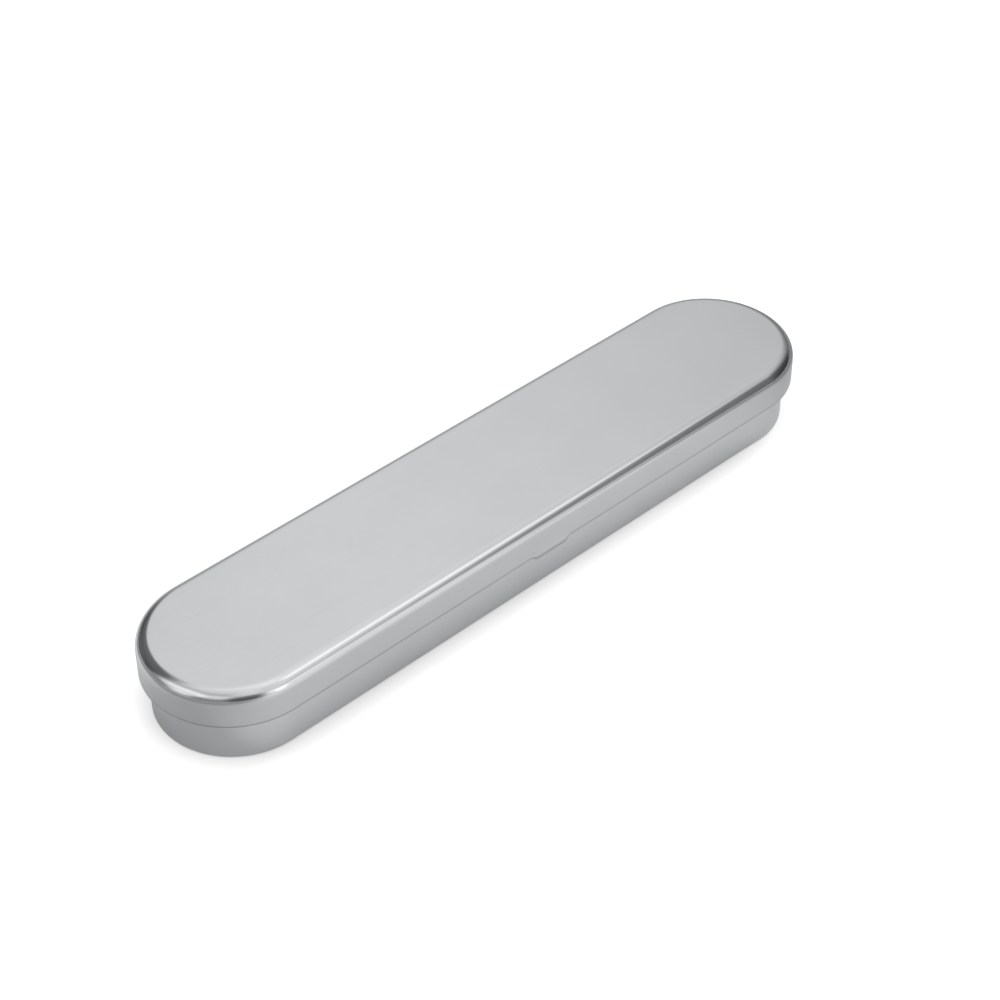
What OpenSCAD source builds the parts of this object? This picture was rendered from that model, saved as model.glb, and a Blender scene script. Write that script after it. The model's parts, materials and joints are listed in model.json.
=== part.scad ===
// Slim hinged tin for coloured pencils, with two layers of three pencils inside.
// The tin stands on z = 0 with its long axis along X, its front at -Y and its hinges at +Y.

/* [Tin] */
// Length of the closed lid from end to end
lid_length = 190; // [182:1:240]
// Width of the lid across its straight sides
lid_width = 41; // [38:0.5:70]
// Height of the lid's lower edge above the table
seam_height = 11; // [8:0.1:20]
// Depth of the lid from its lower edge to its top
lid_depth = 9.2; // [6.5:0.1:10.5]
// Thickness of the tinplate
sheet = 0.3; // [0.2:0.05:0.4]
// Step from the lid's outer wall in to the base's outer wall
overhang = 2.0; // [1.9:0.1:2.6]
// Outer radius of the bend round the lid's top
lid_bend = 3; // [0.8:0.1:3.2]
// Outer radius of the bend round the base's floor
base_bend = 1.0; // [0.6:0.1:2]
// Diameter of the rolled rim inside the base's mouth
rim_roll = 0.9; // [0.7:0.1:1.4]
// Diameter of the hem curled inside the lid's lower edge
hem_roll = 0.7; // [0.6:0.05:0.8]
// Air between the base's rim and the lid's underside
rim_clearance = 0.4; // [0.3:0.05:1]

/* [Finger lip] */
// Width of the lip at the middle of the lid's front
lip_width = 12; // [8:0.5:30]
// How far the lip reaches below the lid's edge
lip_drop = 0.8; // [0.4:0.1:1.5]
// How far the lip leans out from the lid's wall
lip_flare = 0.3; // [0.1:0.05:0.6]
// Length of the slope at each end of the lip
lip_slope = 1.5; // [0.5:0.1:3]

/* [Hinges] */
// Distance of each hinge's middle from the tin's middle
hinge_offset = 45; // [20:1:60]
// Length of the base's knuckle in each hinge
base_knuckle = 8; // [5:0.5:14]
// Length of each of the lid's two knuckles in a hinge
lid_knuckle = 5; // [3:0.5:10]
// Outer diameter of the rolled knuckles
knuckle_d = 1.8; // [1.6:0.05:1.9]
// Diameter of the hinge wire
pin_d = 1.1; // [0.9:0.05:1.2]
// Air round the hinge wire inside the knuckles
pin_clearance = 0.05; // [0.02:0.01:0.1]
// Air between neighbouring knuckles along the wire
knuckle_gap = 0.3; // [0.2:0.05:0.6]
// Height of the hinge axis above the lid's lower edge
axis_rise = 0.5; // [0.4:0.05:0.6]
// Distance of the hinge axis inside the lid's outer wall
axis_depth = 0.8; // [0.75:0.01:0.85]
// Height of the lid's notch above the hinge axis
notch_rise = 1.3; // [1.2:0.05:2]

/* [Pencils] */
// Length of a pencil with its point
pencil_length = 175; // [90:1:176]
// Width of a barrel across its flats
pencil_flats = 6.9; // [6.2:0.1:7.1]
// Diameter of the coloured lead
lead_d = 3.3; // [2:0.1:4]
// Air between the lead and its bore
lead_clearance = 0.02; // [0.01:0.01:0.08]
// Full angle of the sharpened point in degrees
point_angle = 22; // [16:1:30]
// Diameter of the flat at the very tip of the lead
tip_d = 0.7; // [0.4:0.1:1.2]
// Thickness of the wood where it ends round the lead
wood_edge = 0.15; // [0.1:0.05:0.4]
// Air between neighbouring barrels in a layer
pencil_gap = 0.05; // [0.02:0.01:0.2]

/* [Hidden] */
$fn = 72;

COLOURS = ["red", "orange", "yellow", "green", "blue", "violet"];

// The lid and the base are ovals with half-round ends about the same two centres.
lid_reach = lid_width / 2;
base_reach = lid_reach - overhang;
end_centre = lid_length / 2 - lid_reach;
tin_height = seam_height + lid_depth;
rim_top = tin_height - sheet - rim_clearance;

hinge_y = lid_reach - axis_depth;
hinge_z = seam_height + axis_rise;
hinge_length = base_knuckle + 2 * knuckle_gap + 2 * lid_knuckle;
bore_d = pin_d + 2 * pin_clearance;

pencils_per_layer = 3;
pencil_corners = pencil_flats / cos(30);
point_slope = tan(point_angle / 2);
apex = pencil_length + tip_d / 2 / point_slope;
wood_end_r = lead_d / 2 + lead_clearance + wood_edge;

// A cut runs this far past the face that it opens.
through = 0.1;

TINPLATE = [0.78, 0.79, 0.80];
WIRE = [0.62, 0.63, 0.65];
LACQUERS = [
    [0.78, 0.07, 0.08],
    [0.92, 0.36, 0.05],
    [0.95, 0.78, 0.08],
    [0.08, 0.48, 0.20],
    [0.06, 0.22, 0.62],
    [0.36, 0.12, 0.50]
];

// Half outline of a pan, from its axis out to its wall, with its floor at 0.
module pan_half(reach, depth, bend) {
    square([reach - bend, depth]);
    translate([0, bend]) square([reach, depth - bend]);
    translate([reach - bend, bend]) circle(r = bend);
}

// Half section of a pan of sheet metal.
module pan_sheet_half(reach, depth, bend) {
    difference() {
        pan_half(reach, depth, bend);
        translate([0, sheet]) pan_half(reach - sheet, depth, bend - sheet);
    }
}

// Takes a half section round the oval that the tin follows.
module round_the_oval() {
    for (side = [0, 1]) {
        mirror([side, 0, 0]) translate([end_centre, 0, 0]) rotate([0, 0, -90])
            rotate_extrude(angle = 180) children();
    }
    translate([-end_centre, 0, 0]) rotate([90, 0, 90]) linear_extrude(2 * end_centre) {
        children();
        mirror([1, 0, 0]) children();
    }
}

// Lays something that stands along Z along X instead.
module along_x() {
    rotate([90, 0, 90]) children();
}

// A rod or a bore on the hinge axis, about a middle given along X.
module on_hinge_axis(middle, length, d) {
    translate([middle - length / 2, hinge_y, hinge_z]) along_x() cylinder(h = length, d = d);
}

module base_shell() {
    wall_top = rim_top - rim_roll / 2;
    strap_z = hinge_z - knuckle_d / 2;
    color(TINPLATE) difference() {
        union() {
            round_the_oval() {
                pan_sheet_half(base_reach, wall_top, base_bend);
                translate([base_reach - rim_roll / 2, wall_top]) circle(d = rim_roll);
            }
            for (side = [-1, 1]) {
                on_hinge_axis(side * hinge_offset, base_knuckle, knuckle_d);
                translate([side * hinge_offset - base_knuckle / 2, base_reach - sheet / 2, strap_z])
                    cube([base_knuckle, hinge_y - base_reach + sheet / 2, sheet]);
            }
        }
        for (side = [-1, 1]) {
            on_hinge_axis(side * hinge_offset, base_knuckle + 2 * through, bore_d);
        }
    }
}

module finger_lip() {
    front = -lid_reach;
    foot = seam_height - lip_drop;
    intersection() {
        translate([-lip_width / 2, 0, 0]) along_x() linear_extrude(lip_width) polygon([
            [front + hem_roll / 2, seam_height + hem_roll],
            [front + sheet / 2, seam_height + hem_roll],
            [front - lip_flare, foot],
            [front - lip_flare + sheet + through, foot],
            [front + hem_roll, seam_height + hem_roll / 4]
        ]);
        translate([0, hem_roll - lid_reach, 0]) rotate([90, 0, 0]) linear_extrude(hem_roll + lip_flare + through)
            polygon([
                [-lip_width / 2, seam_height + hem_roll],
                [-lip_width / 2, seam_height],
                [lip_slope - lip_width / 2, foot],
                [lip_width / 2 - lip_slope, foot],
                [lip_width / 2, seam_height],
                [lip_width / 2, seam_height + hem_roll]
            ]);
    }
}

module lid_shell() {
    notch_width = base_knuckle + 2 * knuckle_gap;
    knuckle_middle = base_knuckle / 2 + knuckle_gap + lid_knuckle / 2;
    color(TINPLATE) difference() {
        union() {
            round_the_oval() {
                translate([0, tin_height]) mirror([0, 1])
                    pan_sheet_half(lid_reach, lid_depth - hem_roll / 2, lid_bend);
                translate([lid_reach - hem_roll / 2, seam_height + hem_roll / 2]) circle(d = hem_roll);
            }
            finger_lip();
            for (side = [-1, 1], end = [-1, 1]) {
                on_hinge_axis(side * hinge_offset + end * knuckle_middle, lid_knuckle, knuckle_d);
            }
        }
        for (side = [-1, 1]) {
            on_hinge_axis(side * hinge_offset, hinge_length + 2 * through, bore_d);
            translate([
                side * hinge_offset - notch_width / 2,
                hinge_y - knuckle_d / 2 - through,
                seam_height - through
            ]) cube([notch_width, axis_depth + knuckle_d / 2 + 2 * through, axis_rise + notch_rise + through]);
        }
    }
}

module hinge_pin(side) {
    color(WIRE) on_hinge_axis(side * hinge_offset, hinge_length, pin_d);
}

// Puts something modelled along Z from 0 in the place of pencil i, with its point at +X.
module in_pencil_place(i) {
    row = i % pencils_per_layer - (pencils_per_layer - 1) / 2;
    layer = floor(i / pencils_per_layer);
    translate([
        -pencil_length / 2,
        row * (pencil_corners + pencil_gap),
        sheet + (layer + 0.5) * pencil_flats
    ]) along_x() children();
}

module pencil_barrel(i) {
    clear_r = pencil_corners / 2 + through;
    wood_end = apex - wood_end_r / point_slope;
    color(LACQUERS[i]) in_pencil_place(i) difference() {
        intersection() {
            cylinder(h = pencil_length, d = pencil_corners, $fn = 6);
            rotate_extrude() polygon([
                [0, 0],
                [clear_r, 0],
                [clear_r, apex - clear_r / point_slope],
                [wood_end_r, wood_end],
                [0, wood_end]
            ]);
        }
        translate([0, 0, -through]) cylinder(h = pencil_length, d = lead_d + 2 * lead_clearance);
    }
}

module pencil_lead(i) {
    lead_r = lead_d / 2;
    color(LACQUERS[i] * 0.9) in_pencil_place(i) rotate_extrude() polygon([
        [0, 0],
        [lead_r, 0],
        [lead_r, apex - lead_r / point_slope],
        [tip_d / 2, pencil_length],
        [0, pencil_length]
    ]);
}

base_shell();
lid_shell();
hinge_pin(-1);  // hinge_pin_left
hinge_pin(1);  // hinge_pin_right
for (i = [0 : len(COLOURS) - 1]) {
    pencil_barrel(i);
    pencil_lead(i);
}
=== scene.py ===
import json
import math

import bmesh
import bpy
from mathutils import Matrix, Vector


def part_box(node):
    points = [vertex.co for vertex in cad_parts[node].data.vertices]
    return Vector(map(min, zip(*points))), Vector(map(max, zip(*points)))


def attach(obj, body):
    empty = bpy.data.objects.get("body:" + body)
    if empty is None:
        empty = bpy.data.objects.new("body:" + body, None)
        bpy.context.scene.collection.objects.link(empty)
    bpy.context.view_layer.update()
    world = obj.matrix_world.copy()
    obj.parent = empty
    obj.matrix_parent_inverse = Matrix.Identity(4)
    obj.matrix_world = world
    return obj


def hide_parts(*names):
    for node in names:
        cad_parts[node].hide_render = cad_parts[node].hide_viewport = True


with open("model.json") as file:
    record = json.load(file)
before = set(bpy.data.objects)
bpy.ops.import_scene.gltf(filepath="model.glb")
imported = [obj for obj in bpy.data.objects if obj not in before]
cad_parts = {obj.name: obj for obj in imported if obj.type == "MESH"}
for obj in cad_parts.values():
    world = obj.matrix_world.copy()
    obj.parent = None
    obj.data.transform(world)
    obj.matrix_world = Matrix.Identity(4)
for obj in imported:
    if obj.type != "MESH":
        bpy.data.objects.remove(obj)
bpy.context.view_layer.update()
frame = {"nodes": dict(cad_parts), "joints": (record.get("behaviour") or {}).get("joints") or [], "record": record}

# The tin lies on white card, seen from above its front left end through a long lens.
# The camera's place, angles and focal length are fitted to the tin's photographed edges.
camera_data = bpy.data.cameras.new("camera")
camera_data.sensor_width = 36.0
camera_data.lens = 83.75
camera_data.clip_start = 0.01
camera = bpy.data.objects.new("camera", camera_data)
camera.location = (-0.2812, -0.2990, 0.3544)
camera_tilt_down = math.radians(39.79)
camera_turn = math.radians(-43.61)
camera.rotation_euler = (math.pi / 2 - camera_tilt_down, 0, camera_turn)
bpy.context.scene.collection.objects.link(camera)
bpy.context.scene.camera = camera
bpy.context.scene.view_settings.view_transform = "Standard"


# A sheet of white card, much larger than the tin, that runs out of the picture.
# It is white where nothing stands. Its glow is painted dimmer close round the tin, a painted shadow that deepens
# the real soft shadow there.
def add_node(tree, kind, **settings):
    node = tree.nodes.new(kind)
    for key, value in settings.items():
        setattr(node, key, value)
    return node


def new_material(name):
    material = bpy.data.materials.new(name)
    material.use_nodes = True
    return material, material.node_tree, material.node_tree.nodes["Principled BSDF"]


card_size = 6.0
card_drop = 0.00002
card_mesh = bpy.data.meshes.new("white_card")
half_card = card_size / 2
card_mesh.from_pydata(
    [(x, y, -card_drop) for x, y in ((-half_card, -half_card), (half_card, -half_card),
                                     (half_card, half_card), (-half_card, half_card))],
    [], [(0, 1, 2, 3)])
card = bpy.data.objects.new("white_card", card_mesh)
bpy.context.scene.collection.objects.link(card)

card_material, tree, card_paint = new_material("white_card")
card_paint.inputs["Base Color"].default_value = (0.74, 0.74, 0.74, 1)
card_paint.inputs["Roughness"].default_value = 0.9
card_paint.inputs["Specular IOR Level"].default_value = 0.1
glow = add_node(tree, "ShaderNodeEmission")
glow.inputs["Color"].default_value = (1, 1, 1, 1)
light_path = add_node(tree, "ShaderNodeLightPath")
card_place = add_node(tree, "ShaderNodeTexCoord")
card_axes = add_node(tree, "ShaderNodeSeparateXYZ")
tree.links.new(card_place.outputs["Object"], card_axes.inputs[0])


def card_math(operation, *sources):
    node = add_node(tree, "ShaderNodeMath", operation=operation)
    for socket, source in zip(node.inputs, sources):
        if isinstance(source, (int, float)):
            socket.default_value = source
        else:
            tree.links.new(source, socket)
    return node.outputs[0]


shadow_middle_x = 0.005
shadow_half_length = 0.075
along_tin = card_math("ABSOLUTE", card_math("SUBTRACT", card_axes.outputs["X"], shadow_middle_x))
past_middle = card_math("MAXIMUM", card_math("SUBTRACT", along_tin, shadow_half_length), 0.0)
from_tin = card_math("SQRT", card_math(
    "ADD", card_math("POWER", past_middle, 2.0), card_math("POWER", card_axes.outputs["Y"], 2.0)))


def card_ramp(source, low, high, low_value, high_value):
    ramp = add_node(tree, "ShaderNodeMapRange", interpolation_type="SMOOTHSTEP")
    ramp.inputs["From Min"].default_value = low
    ramp.inputs["From Max"].default_value = high
    ramp.inputs["To Min"].default_value = low_value
    ramp.inputs["To Max"].default_value = high_value
    tree.links.new(source, ramp.inputs["Value"])
    return ramp.outputs["Result"]


mirrored = card_math(
    "MAXIMUM", light_path.outputs["Is Glossy Ray"], light_path.outputs["Is Transmission Ray"])
# Both glows are painted dimmer close round the tin: painted shadow seen straight on, and painted shade in the card
# that the tin mirrors.
seen_glow = card_math(
    "MULTIPLY", light_path.outputs["Is Camera Ray"], card_ramp(from_tin, 0.019, 0.030, 0.36, 0.66))
mirrored_glow = card_math("MULTIPLY", mirrored, card_ramp(from_tin, 0.024, 0.090, 0.03, 0.36))
tree.links.new(card_math("ADD", seen_glow, mirrored_glow), glow.inputs["Strength"])
card_sum = add_node(tree, "ShaderNodeAddShader")
tree.links.new(card_paint.outputs[0], card_sum.inputs[0])
tree.links.new(glow.outputs[0], card_sum.inputs[1])
# Three round grey cloths lie far out on the card. Only the tin's bends mirror them.
grey = None
for x, y, inner, outer, share in (
    (0.400, -0.100, 0.260, 0.345, 0.95),
    (-0.400, -0.100, 0.265, 0.335, 0.80),
    (-0.250, 0.350, 0.240, 0.340, 0.90),
):
    reach = add_node(tree, "ShaderNodeVectorMath", operation="DISTANCE")
    tree.links.new(card_place.outputs["Object"], reach.inputs[0])
    reach.inputs[1].default_value = (x, y, 0.0)
    spot = card_ramp(reach.outputs["Value"], inner, outer, share, 0.0)
    grey = card_math("MAXIMUM", grey, spot) if grey else spot
grey_paint = add_node(tree, "ShaderNodeBsdfDiffuse")
grey_paint.inputs["Color"].default_value = (0.25, 0.25, 0.25, 1)
card_mix = add_node(tree, "ShaderNodeMixShader")
tree.links.new(card_math("MULTIPLY", mirrored, grey), card_mix.inputs[0])
tree.links.new(card_sum.outputs[0], card_mix.inputs[1])
tree.links.new(grey_paint.outputs[0], card_mix.inputs[2])
tree.links.new(card_mix.outputs[0], tree.nodes["Material Output"].inputs["Surface"])
card_mesh.materials.append(card_material)


# The studio round the tin is a pale dome that is brightest overhead. Its darker and brighter cloths
# are hung where the bends of the tin mirror them, and draw the fine lines along its edges.
def toward(azimuth, elevation):
    a, e = math.radians(azimuth), math.radians(elevation)
    return math.cos(a) * math.cos(e), math.sin(a) * math.cos(e), math.sin(e)


world = bpy.data.worlds.new("studio")
bpy.context.scene.world = world
world.use_nodes = True
sky = world.node_tree
sky_coordinates = add_node(sky, "ShaderNodeTexCoord")
sky_height = add_node(sky, "ShaderNodeSeparateXYZ")
sky.links.new(sky_coordinates.outputs["Generated"], sky_height.inputs[0])


def sky_ramp(source, low, high, low_value, high_value):
    ramp = add_node(sky, "ShaderNodeMapRange", interpolation_type="SMOOTHSTEP")
    ramp.inputs["From Min"].default_value = low
    ramp.inputs["From Max"].default_value = high
    ramp.inputs["To Min"].default_value = low_value
    ramp.inputs["To Max"].default_value = high_value
    sky.links.new(source, ramp.inputs["Value"])
    return ramp.outputs["Result"]


def sky_patch(azimuth, elevation, radius, softness, value):
    """1 away from a patch of the sky, turning to value inside it."""
    dot = add_node(sky, "ShaderNodeVectorMath", operation="DOT_PRODUCT")
    dot.inputs[1].default_value = toward(azimuth, elevation)
    sky.links.new(sky_coordinates.outputs["Generated"], dot.inputs[0])
    outside = math.cos(math.radians(radius + softness))
    inside = math.cos(math.radians(max(radius - softness, 0)))
    return sky_ramp(dot.outputs["Value"], outside, inside, 1.0, value)


def sky_math(operation, first, second):
    node = add_node(sky, "ShaderNodeMath", operation=operation)
    sky.links.new(first, node.inputs[0])
    sky.links.new(second, node.inputs[1])
    return node.outputs[0]


low_sky = sky_ramp(sky_height.outputs["Z"], 0.20, 0.70, 0.50, 1.09)
high_sky = sky_ramp(sky_height.outputs["Z"], 0.86, 0.97, 0.0, 0.35)
sky_light = sky_math("ADD", low_sky, high_sky)
for azimuth, elevation, radius, softness, value in (
    (180, 40, 50, 30, 0.65),
    (208, 34, 12, 8, 1.60),
    (168, 33, 21, 7, 1.90),
    (172, 11, 12, 7, 1.80),
    (100, 30, 30, 6, 0.20),
    (105, 8, 16, 5, 1.60),
    (-112, 56, 10, 6, 1.30),
    (-116, 16, 19, 8, 0.30),
    (-88, 13, 12, 7, 2.40),
    (-68, 8, 14, 5, 2.40),
    (-36, 54, 9, 4, 1.50),
    (-2, 10, 38, 18, 0.50),
    (-30, 16, 27, 3, 0.42),
    (-18, 25, 23, 3, 0.60),
):
    patch = sky_patch(azimuth, elevation, radius, softness, value)
    sky_light = sky_math("MULTIPLY", sky_light, patch)
sky_paths = add_node(sky, "ShaderNodeLightPath")
sky_white = add_node(sky, "ShaderNodeMix", data_type="FLOAT")
sky.links.new(sky_paths.outputs["Is Camera Ray"], sky_white.inputs["Factor"])
sky.links.new(sky_light, sky_white.inputs["A"])
sky_white.inputs["B"].default_value = 1.0
sky_background = sky.nodes["Background"]
sky_background.inputs["Color"].default_value = (1, 1, 1, 1)
sky.links.new(sky_white.outputs["Result"], sky_background.inputs["Strength"])

# One round lamp stands at the right, half way up. It gives the tin a soft shadow at its left end.
lamp_data = bpy.data.lights.new("key_lamp", "AREA")
lamp_data.shape = "DISK"
lamp_data.size = 0.5
lamp_data.energy = 5.0
lamp = bpy.data.objects.new("key_lamp", lamp_data)
lamp_elevation = 45
lamp_distance = 1.2
lamp.location = tuple(c * lamp_distance for c in toward(0, lamp_elevation))
lamp.rotation_euler = (math.pi / 2 - math.radians(lamp_elevation), 0, math.pi / 2)
lamp.visible_glossy = False
lamp.visible_camera = False
bpy.context.scene.collection.objects.link(lamp)


# The lid is one sheet of tinplate drawn to a shallow oval pan with half-round ends.
# Its lower edge is curled inwards to a hem, pulled out at the front's middle to a small finger
# lip, and cut away at the rear for two hinges, where its own sheet rolls round the hinge wire.
MM = 0.001
sheet = 0.3 * MM
lid_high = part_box("lid_shell")[1]
lid_reach = 20.5 * MM
lid_top = lid_high.z
lid_edge = lid_top - 9.2 * MM
lid_bend = 3.0 * MM
hem_fold = 0.35 * MM
hem_leg = 0.7 * MM
end_centre = lid_high.x - lid_reach
flat_ring_r = 8 * MM
hinge_y, hinge_z = frame["joints"][0]["pos_m"][1:]
hinge_middles = (-45 * MM, 45 * MM)
base_knuckle_half = 4.0 * MM
knuckle_gap = 0.3 * MM
lid_knuckle_length = 5.0 * MM
hinge_half_length = base_knuckle_half + knuckle_gap + lid_knuckle_length
notch_top = hinge_z + 1.3 * MM
notch_air = 0.15 * MM


def arc(centre_r, centre_z, radius, start, end, steps):
    """Points (r, z) on an arc, with angles in degrees from the outward direction."""
    turns = [math.radians(start + (end - start) * i / steps) for i in range(steps + 1)]
    return [(centre_r + radius * math.cos(t), centre_z + radius * math.sin(t)) for t in turns]


def oval_stations(rear_stops, front_stops, end_steps=64):
    """Stops round the oval as (centre x, angle): right end, rear side, left end, front side."""
    right = [(end_centre, -90 + 180 * i / end_steps) for i in range(end_steps)]
    rear = [(x, 90) for x in sorted(rear_stops + [end_centre], reverse=True)]
    left = [(-end_centre, 90 + 180 * i / end_steps) for i in range(end_steps)]
    front = [(x, 270) for x in sorted(front_stops + [-end_centre])]
    return right + rear + left + front


def sweep_round_oval(section, stations, bends, lean=None, missing=None):
    """A bmesh of a section (r, z) taken round the oval, from its middle line and back to it.
    lean moves a point, and missing(station) gives the first and last point of a stretch cut away."""
    mesh = bmesh.new()
    bend_layer = mesh.verts.layers.float.new("bend")
    grid = []
    for centre_x, angle in stations:
        turn = math.radians(angle)
        row = []
        for index, (r, z) in enumerate(section):
            place = [centre_x + r * math.cos(turn), r * math.sin(turn), z]
            if lean and angle == 270:
                place = lean(place)
            vert = mesh.verts.new(place)
            vert[bend_layer] = bends[index]
            row.append(vert)
        grid.append(row)
    for i, here in enumerate(grid):
        there = grid[(i + 1) % len(grid)]
        gap = missing(stations[i], stations[(i + 1) % len(grid)]) if missing else None
        for j in range(len(section) - 1):
            if gap and gap[0] <= j < gap[1]:
                continue
            mesh.faces.new((here[j], there[j], there[j + 1], here[j + 1]))
        if gap:
            mesh.faces.new((here[gap[0]], there[gap[0]], there[gap[1]], here[gap[1]]))
            before = missing(stations[i - 1], stations[i])
            after = missing(stations[(i + 1) % len(grid)], stations[(i + 2) % len(grid)])
            if not before:
                mesh.faces.new(here[gap[0]:gap[1] + 1])
            if not after:
                mesh.faces.new(list(reversed(there[gap[0]:gap[1] + 1])))
    bmesh.ops.remove_doubles(mesh, verts=mesh.verts, dist=0.001 * MM)
    return mesh


def add_bar(mesh, outline, x_from, x_to, edge):
    """A bar along X with the outline (y, z), its two ends eased by edge."""
    verts = []
    for x, inset in ((x_from, edge), (x_from + edge, 0), (x_to - edge, 0), (x_to, edge)):
        count = len(outline)
        row = []
        for k, (y, z) in enumerate(outline):
            before, after = outline[k - 1], outline[(k + 1) % count]
            tangent = (after[0] - before[0], after[1] - before[1])
            size = math.hypot(*tangent) or 1.0
            row.append(mesh.verts.new((x, y - inset * tangent[1] / size, z + inset * tangent[0] / size)))
        verts.append(row)
    faces = [mesh.faces.new(list(reversed(verts[0]))), mesh.faces.new(verts[-1])]
    for low, high in zip(verts, verts[1:]):
        for k in range(len(outline)):
            after = (k + 1) % len(outline)
            faces.append(mesh.faces.new((low[k], low[after], high[after], high[k])))
    return faces


def finish_piece(mesh, name, materials, crease=40):
    """Turns a bmesh into an object with true outward faces and smooth curves."""
    bmesh.ops.recalc_face_normals(mesh, faces=mesh.faces)
    data = bpy.data.meshes.new(name)
    mesh.to_mesh(data)
    mesh.free()
    for polygon in data.polygons:
        polygon.use_smooth = True
    data.set_sharp_from_angle(angle=math.radians(crease))
    for material in materials:
        data.materials.append(material)
    piece = bpy.data.objects.new(name, data)
    bpy.context.scene.collection.objects.link(piece)
    return piece


def tinplate(name, pale, deep):
    """Rolled tinplate: satin, with fine grain along the tin, faint clouds, thin scratches, and painted shade that
    darkens the lid's hem.
    """
    material, tree, paint = new_material(name)
    paint.inputs["Metallic"].default_value = 1.0
    place = add_node(tree, "ShaderNodeTexCoord")

    def noise(stretch, scale, detail):
        mapping = add_node(tree, "ShaderNodeMapping")
        mapping.inputs["Scale"].default_value = stretch
        texture = add_node(tree, "ShaderNodeTexNoise")
        texture.inputs["Scale"].default_value = scale
        texture.inputs["Detail"].default_value = detail
        tree.links.new(place.outputs["Object"], mapping.inputs["Vector"])
        tree.links.new(mapping.outputs["Vector"], texture.inputs["Vector"])
        return texture.outputs["Fac"]

    def between(source, low, high, low_value, high_value):
        ramp = add_node(tree, "ShaderNodeMapRange")
        ramp.inputs["From Min"].default_value = low
        ramp.inputs["From Max"].default_value = high
        ramp.inputs["To Min"].default_value = low_value
        ramp.inputs["To Max"].default_value = high_value
        tree.links.new(source, ramp.inputs["Value"])
        return ramp.outputs["Result"]

    def combine(operation, first, second):
        node = add_node(tree, "ShaderNodeMath", operation=operation)
        tree.links.new(first, node.inputs[0])
        tree.links.new(second, node.inputs[1])
        return node.outputs[0]

    grain = noise((0.12, 1, 1), 3500, 3)
    clouds = noise((1, 1, 1), 60, 3)
    scratches = noise((0.02, 1, 1), 1400, 1)
    bend = add_node(tree, "ShaderNodeAttribute", attribute_name="bend")

    tone = add_node(tree, "ShaderNodeMix", data_type="RGBA")
    tone.inputs["A"].default_value = (*deep, 1)
    tone.inputs["B"].default_value = (*pale, 1)
    tree.links.new(between(clouds, 0.3, 0.7, 0.0, 1.0), tone.inputs["Factor"])
    # The hem is painted darker: painted shade for the dark seam where the lid's edge overhangs the base.
    hem_shade = add_node(tree, "ShaderNodeMix", data_type="RGBA")
    tree.links.new(tone.outputs["Result"], hem_shade.inputs["A"])
    hem_shade.inputs["B"].default_value = (0.14, 0.137, 0.132, 1)
    tree.links.new(between(bend.outputs["Fac"], 1.0, 2.0, 0.0, 0.40), hem_shade.inputs["Factor"])
    tree.links.new(hem_shade.outputs["Result"], paint.inputs["Base Color"])

    satin = between(grain, 0.25, 0.75, 0.21, 0.24)
    scored = between(scratches, 0.64, 0.82, 0.0, 0.03)
    worn = between(bend.outputs["Fac"], 0.0, 1.0, 0.0, -0.08)
    roughness = combine("ADD", combine("ADD", satin, scored), worn)
    tree.links.new(roughness, paint.inputs["Roughness"])

    bump = add_node(tree, "ShaderNodeBump")
    bump.inputs["Strength"].default_value = 0.12
    bump.inputs["Distance"].default_value = 0.006 * MM
    waves = noise((0.5, 1, 1), 35, 1)
    slow_waves = between(waves, 0.0, 1.0, 0.0, 6.0)
    tree.links.new(combine("ADD", grain, slow_waves), bump.inputs["Height"])
    tree.links.new(bump.outputs["Normal"], paint.inputs["Normal"])
    return material


hem_centre_r = lid_reach - hem_fold
hem_centre_z = lid_edge + hem_fold
lid_section = [(0, lid_top), (flat_ring_r, lid_top), (lid_reach - lid_bend - 0.15 * MM, lid_top)]
lid_section += arc(lid_reach - lid_bend, lid_top - lid_bend, lid_bend, 90, 0, 22)
lid_section += [(lid_reach, lid_top - lid_bend - 0.1 * MM), (lid_reach, notch_top + 2.5 * MM)]
outer_notch = len(lid_section)
lid_section += [
    (lid_reach, notch_top),
    (lid_reach, notch_top - 0.7 * MM),
    (lid_reach, hem_centre_z + 0.1 * MM),
]
lid_section += arc(hem_centre_r, hem_centre_z, hem_fold, 0, -180, 12)
lid_section += [
    (lid_reach - 2 * hem_fold, hem_centre_z + hem_leg - 0.06 * MM),
    (lid_reach - 2 * hem_fold + 0.06 * MM, hem_centre_z + hem_leg),
    (lid_reach - 2 * hem_fold + sheet - 0.06 * MM, hem_centre_z + hem_leg),
    (lid_reach - 2 * hem_fold + sheet, hem_centre_z + hem_leg - 0.06 * MM),
    (lid_reach - 2 * hem_fold + sheet, hem_centre_z + 0.1 * MM),
    (lid_reach - sheet, hem_centre_z + 0.1 * MM),
]
inner_notch = len(lid_section)
lid_section += [(lid_reach - sheet, notch_top)]
lid_section += arc(lid_reach - lid_bend, lid_top - lid_bend, lid_bend - sheet, 0, 90, 14)
lid_section += [(flat_ring_r, lid_top - sheet), (0, lid_top - sheet)]


def lid_wear_and_hem_shade(r, z):
    """2 on the hem, darkened as painted shade of the seam under the lid's edge, 1 on the bends that are rubbed
    smooth, and 0 on the flats.
    """
    if z < hem_centre_z + 0.12 * MM:
        return 2.0
    if r > lid_reach - lid_bend and (z > lid_top - lid_bend or z < lid_edge + 2 * hem_fold):
        return 1.0
    return 0.0


lid_bends = [lid_wear_and_hem_shade(r, z) for r, z in lid_section]

lip_flat_half = 4.2 * MM
lip_half = 6.2 * MM
lip_drop = 0.8 * MM
lip_flare = 0.3 * MM
lip_root = 1.5 * MM


def ease(t):
    t = min(max(t, 0.0), 1.0)
    return t * t * (3 - 2 * t)


def pull_out_lip(place):
    along = ease((lip_half - abs(place[0])) / (lip_half - lip_flat_half))
    down = ease((lid_edge + lip_root - place[2]) / lip_root)
    pull = along * down
    return [place[0], place[1] - lip_flare * pull, place[2] - lip_drop * pull]


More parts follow.
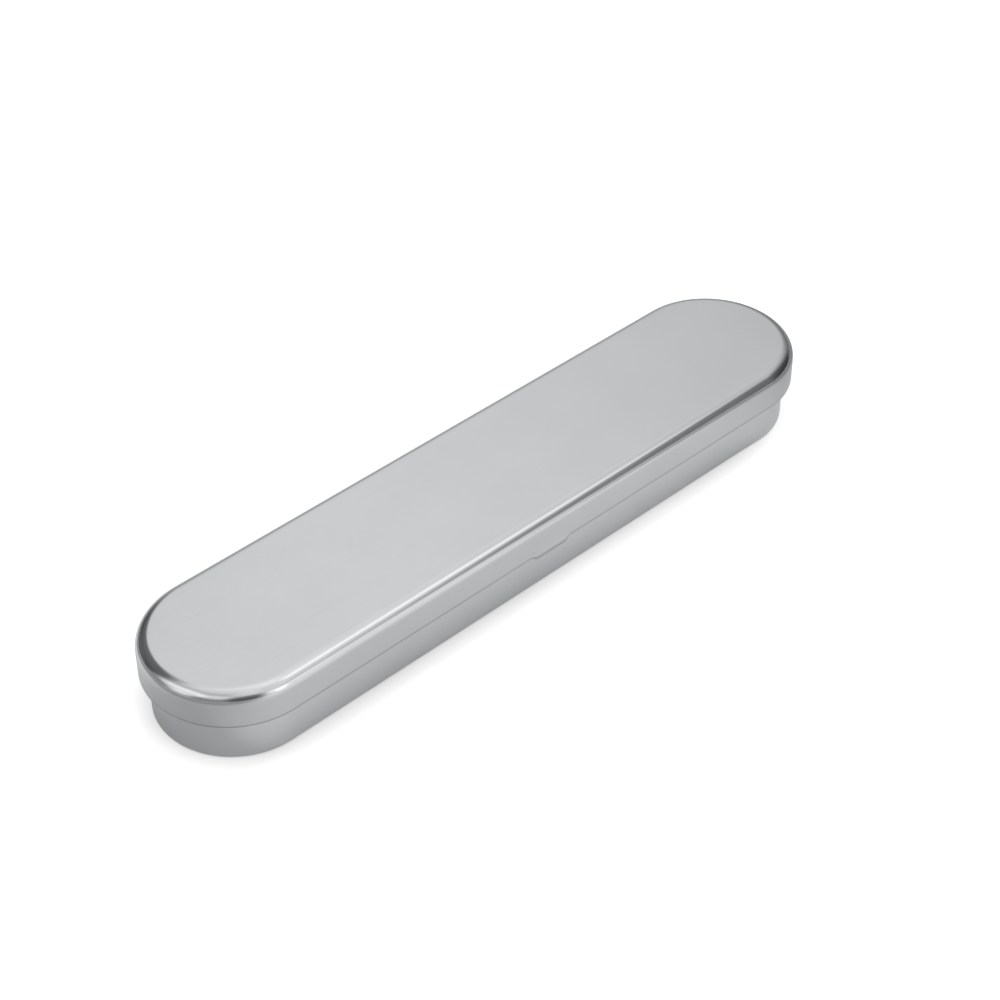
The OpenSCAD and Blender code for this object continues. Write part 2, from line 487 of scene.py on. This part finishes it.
def hinge_gap(here, there):
    if here[1] != 90 or there[1] != 90:
        return None
    middle = (here[0] + there[0]) / 2
    if any(abs(middle - x) < hinge_half_length + notch_air for x in hinge_middles):
        return outer_notch, inner_notch
    return None


rear_stops = [x + side * (hinge_half_length + notch_air) for x in hinge_middles for side in (-1, 1)]
rear_stops += [-end_centre + 2 * end_centre * i / 12 for i in range(13)]
lip_steps = 40
front_stops = [lip_half * 1.05 * i / lip_steps for i in range(-lip_steps, lip_steps + 1)]
front_stops += [end_centre * k / 6 for k in (-5, -4, -3, -2, -1, 1, 2, 3, 4, 5, 6)]
lid_stations = oval_stations(rear_stops, front_stops)
lid_mesh = sweep_round_oval(lid_section, lid_stations, lid_bends, lean=pull_out_lip, missing=hinge_gap)

knuckle_r = 0.9 * MM
knuckle_bore_r = 0.6 * MM
lid_knuckle = [(lid_reach, notch_top), (lid_reach + 0.06 * MM, hinge_z + 0.6 * MM)]
lid_knuckle += arc(hinge_y, hinge_z, knuckle_r, 0, -235, 36)
lid_knuckle += arc(hinge_y, hinge_z, knuckle_bore_r, -235, 0, 36)
lid_knuckle += [(lid_reach - sheet + 0.06 * MM, hinge_z + 0.6 * MM), (lid_reach - sheet, notch_top)]
lid_knuckle.reverse()
for middle in hinge_middles:
    for side in (-1, 1):
        inner_end = middle + side * (base_knuckle_half + knuckle_gap)
        outer_end = middle + side * hinge_half_length
        left_end, right_end = sorted((inner_end, outer_end))
        add_bar(lid_mesh, lid_knuckle, left_end, right_end, 0.05 * MM)

lid_metal = tinplate("lid_tinplate", (0.594, 0.606, 0.618), (0.574, 0.586, 0.598))
lid = finish_piece(lid_mesh, "lid", [lid_metal])
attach(lid, "lid")
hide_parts("lid_shell")


# The base is drawn from the same tinplate to a deeper pan that stands up inside the lid.
# Its mouth is rolled inwards to a round rim, and two straps at the rear curl round the hinge wire.
base_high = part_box("base_shell")[1]
base_reach = base_high.x - end_centre
base_bend = 1.0 * MM
rim_r = 0.45 * MM
rim_bore_r = 0.15 * MM
rim_centre_r = base_reach - rim_r
rim_centre_z = base_high.z - rim_r
wall_ring_z = 9 * MM
base_section = [(0, 0), (flat_ring_r, 0), (base_reach - base_bend - 0.15 * MM, 0)]
base_section += arc(base_reach - base_bend, base_bend, base_bend, -90, 0, 12)
base_section += [
    (base_reach, base_bend + 0.1 * MM),
    (base_reach, wall_ring_z),
    (base_reach, rim_centre_z - 0.1 * MM),
]
base_section += arc(rim_centre_r, rim_centre_z, rim_r, 0, 260, 24)
base_section += arc(rim_centre_r, rim_centre_z, rim_bore_r, 260, 0, 14)
base_section += [(base_reach - sheet, rim_centre_z - 0.15 * MM), (base_reach - sheet, base_bend + 0.1 * MM)]
base_section += arc(base_reach - base_bend, base_bend, base_bend - sheet, 0, -90, 10)
base_section += [(flat_ring_r, sheet), (0, sheet)]
base_bends = [1.0 if (z < base_bend and r > base_reach - base_bend) or z > rim_centre_z - rim_r else 0.0
              for r, z in base_section]
plain_stops = [end_centre * k / 6 for k in range(-5, 6)]
base_stations = oval_stations(plain_stops + [-end_centre], plain_stops + [end_centre])
base_mesh = sweep_round_oval(base_section, base_stations, base_bends)

strap_root = base_reach - 0.1 * MM
strap_low = hinge_z - knuckle_r
base_knuckle = [(strap_root, strap_low)]
base_knuckle += arc(hinge_y, hinge_z, knuckle_r, -90, 205, 44)
base_knuckle += arc(hinge_y, hinge_z, knuckle_bore_r, 205, -90, 44)
base_knuckle += [(strap_root, strap_low + sheet)]
for middle in hinge_middles:
    add_bar(base_mesh, base_knuckle, middle - base_knuckle_half, middle + base_knuckle_half, 0.05 * MM)

# The base's copy of the tinplate is paler than the lid's, though both are one sheet: painted light that brightens
# the base's walls.
base_metal = tinplate("base_tinplate", (0.665, 0.676, 0.687), (0.645, 0.656, 0.667))
base = finish_piece(base_mesh, "base", [base_metal])
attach(base, "base")
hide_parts("base_shell")


# Two straight pins of drawn steel wire, one in each hinge, run through the knuckles of both shells.
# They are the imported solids, with a duller wire finish of fine rings left by the drawing die.
wire, tree, wire_paint = new_material("hinge_wire")
wire_paint.inputs["Metallic"].default_value = 1.0
wire_place = add_node(tree, "ShaderNodeTexCoord")
wire_mapping = add_node(tree, "ShaderNodeMapping")
wire_mapping.inputs["Scale"].default_value = (0.1, 1, 1)
wire_noise = add_node(tree, "ShaderNodeTexNoise")
wire_noise.inputs["Scale"].default_value = 6000
wire_tone = add_node(tree, "ShaderNodeMix", data_type="RGBA")
wire_tone.inputs["A"].default_value = (0.38, 0.38, 0.39, 1)
wire_tone.inputs["B"].default_value = (0.55, 0.55, 0.56, 1)
wire_rough = add_node(tree, "ShaderNodeMapRange")
wire_rough.inputs["To Min"].default_value = 0.28
wire_rough.inputs["To Max"].default_value = 0.48
tree.links.new(wire_place.outputs["Object"], wire_mapping.inputs["Vector"])
tree.links.new(wire_mapping.outputs["Vector"], wire_noise.inputs["Vector"])
tree.links.new(wire_noise.outputs["Fac"], wire_tone.inputs["Factor"])
tree.links.new(wire_noise.outputs["Fac"], wire_rough.inputs["Value"])
tree.links.new(wire_tone.outputs["Result"], wire_paint.inputs["Base Color"])
tree.links.new(wire_rough.outputs["Result"], wire_paint.inputs["Roughness"])
for pin in ("hinge_pin_left", "hinge_pin_right"):
    pin_data = frame["nodes"][pin].data
    pin_data.materials.clear()
    pin_data.materials.append(wire)


# Six full-length pencils lie in two layers of three. Each barrel is six-sided cedar under gloss
# lacquer, sharpened to a bare cone whose edge with the lacquer is scalloped by the six sides,
# and holds a thick waxy lead that shows at the point and as a disc in the cut butt end.
def grainy(tree, stretch, scale, detail):
    place = add_node(tree, "ShaderNodeTexCoord")
    mapping = add_node(tree, "ShaderNodeMapping")
    mapping.inputs["Scale"].default_value = stretch
    texture = add_node(tree, "ShaderNodeTexNoise")
    texture.inputs["Scale"].default_value = scale
    texture.inputs["Detail"].default_value = detail
    tree.links.new(place.outputs["Object"], mapping.inputs["Vector"])
    tree.links.new(mapping.outputs["Vector"], texture.inputs["Vector"])
    return texture.outputs["Fac"]


def blended(tree, source, low, high):
    mix = add_node(tree, "ShaderNodeMix", data_type="RGBA")
    mix.inputs["A"].default_value = (*low, 1)
    mix.inputs["B"].default_value = (*high, 1)
    tree.links.new(source, mix.inputs["Factor"])
    return mix.outputs["Result"]


def rise(tree, source, strength, distance, paint):
    bump = add_node(tree, "ShaderNodeBump")
    bump.inputs["Strength"].default_value = strength
    bump.inputs["Distance"].default_value = distance
    tree.links.new(source, bump.inputs["Height"])
    tree.links.new(bump.outputs["Normal"], paint.inputs["Normal"])


def varied(tree, source, low, high, socket):
    ramp = add_node(tree, "ShaderNodeMapRange")
    ramp.inputs["From Min"].default_value = 0.3
    ramp.inputs["From Max"].default_value = 0.7
    ramp.inputs["To Min"].default_value = low
    ramp.inputs["To Max"].default_value = high
    tree.links.new(source, ramp.inputs["Value"])
    tree.links.new(ramp.outputs["Result"], socket)


cedar, tree, cedar_paint = new_material("cedar")
cedar_grain = grainy(tree, (0.06, 1, 1), 2200, 4)
cedar_tone = blended(tree, cedar_grain, (0.46, 0.24, 0.12), (0.80, 0.56, 0.36))
tree.links.new(cedar_tone, cedar_paint.inputs["Base Color"])
varied(tree, cedar_grain, 0.55, 0.75, cedar_paint.inputs["Roughness"])
rise(tree, cedar_grain, 0.5, 0.03 * MM, cedar_paint)

barrel_sides = 144
barrel_half_flats = 3.45 * MM
corner_softening = 0.16 * MM
butt_ease = 0.12 * MM
lead_bore_r = 1.67 * MM
wood_end_r = 1.82 * MM
point_slope = math.tan(math.radians(11))
cone_steps = 8
widest_r = barrel_half_flats / math.cos(math.radians(30)) - corner_softening


def barrel_r(angle):
    from_flat = math.radians(angle % 60 - 30)
    return min(barrel_half_flats / math.cos(from_flat), widest_r)


def make_barrel(colour):
    node = f"pencil_{colour}_barrel"
    low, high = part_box(node)
    middle_y, middle_z = (low.y + high.y) / 2, (low.z + high.z) / 2
    mesh = bmesh.new()
    rows = []
    for k in range(barrel_sides):
        angle = 360 * k / barrel_sides
        side_r = barrel_r(angle)
        scallop_x = high.x - (side_r - wood_end_r) / point_slope
        outline = [(low.x, lead_bore_r), (low.x, side_r - butt_ease), (low.x + butt_ease, side_r)]
        outline += [(scallop_x - 0.3 * MM, side_r)]
        for step in range(cone_steps + 1):
            share = step / cone_steps
            cone_x = scallop_x + (high.x - scallop_x) * share
            outline.append((cone_x, side_r + (wood_end_r - side_r) * share))
        outline.append((high.x, lead_bore_r))
        turn = math.radians(angle)
        rows.append([
            mesh.verts.new((x, middle_y + r * math.cos(turn), middle_z + r * math.sin(turn)))
            for x, r in outline
        ])
    lacquered = range(1, 4)
    for k, here in enumerate(rows):
        there = rows[(k + 1) % barrel_sides]
        for j in range(len(here)):
            after = (j + 1) % len(here)
            face = mesh.faces.new((here[j], there[j], there[after], here[after]))
            face.material_index = 0 if j in lacquered else 1
    slot = "lacquer_" + colour
    rgb = next(row["base_color"] for row in frame["record"]["materials"] if row["slot"] == slot)[:3]
    lacquer, tree, paint = new_material("lacquer_" + colour)
    streaks = grainy(tree, (0.05, 1, 1), 900, 3)
    darker = tuple(0.82 * c for c in rgb)
    tree.links.new(blended(tree, streaks, darker, rgb), paint.inputs["Base Color"])
    varied(tree, streaks, 0.22, 0.32, paint.inputs["Roughness"])
    rise(tree, streaks, 0.25, 0.01 * MM, paint)
    paint.inputs["Coat Weight"].default_value = 0.5
    paint.inputs["Coat Roughness"].default_value = 0.12
    barrel = finish_piece(mesh, "barrel_" + colour, [lacquer, cedar], crease=30)
    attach(barrel, "base")
    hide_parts(node)
    return rgb


def finish_lead(colour, rgb):
    wax, tree, paint = new_material("lead_" + colour)
    crumbs = grainy(tree, (1, 1, 1), 2500, 4)
    chalky = tuple(0.75 * c + 0.08 for c in rgb)
    tree.links.new(blended(tree, crumbs, rgb, chalky), paint.inputs["Base Color"])
    varied(tree, crumbs, 0.45, 0.62, paint.inputs["Roughness"])
    rise(tree, crumbs, 0.4, 0.02 * MM, paint)
    data = frame["nodes"][f"pencil_{colour}_lead"].data
    data.materials.clear()
    data.materials.append(wax)


for colour in ("red", "orange", "yellow", "green", "blue", "violet"):
    finish_lead(colour, make_barrel(colour))
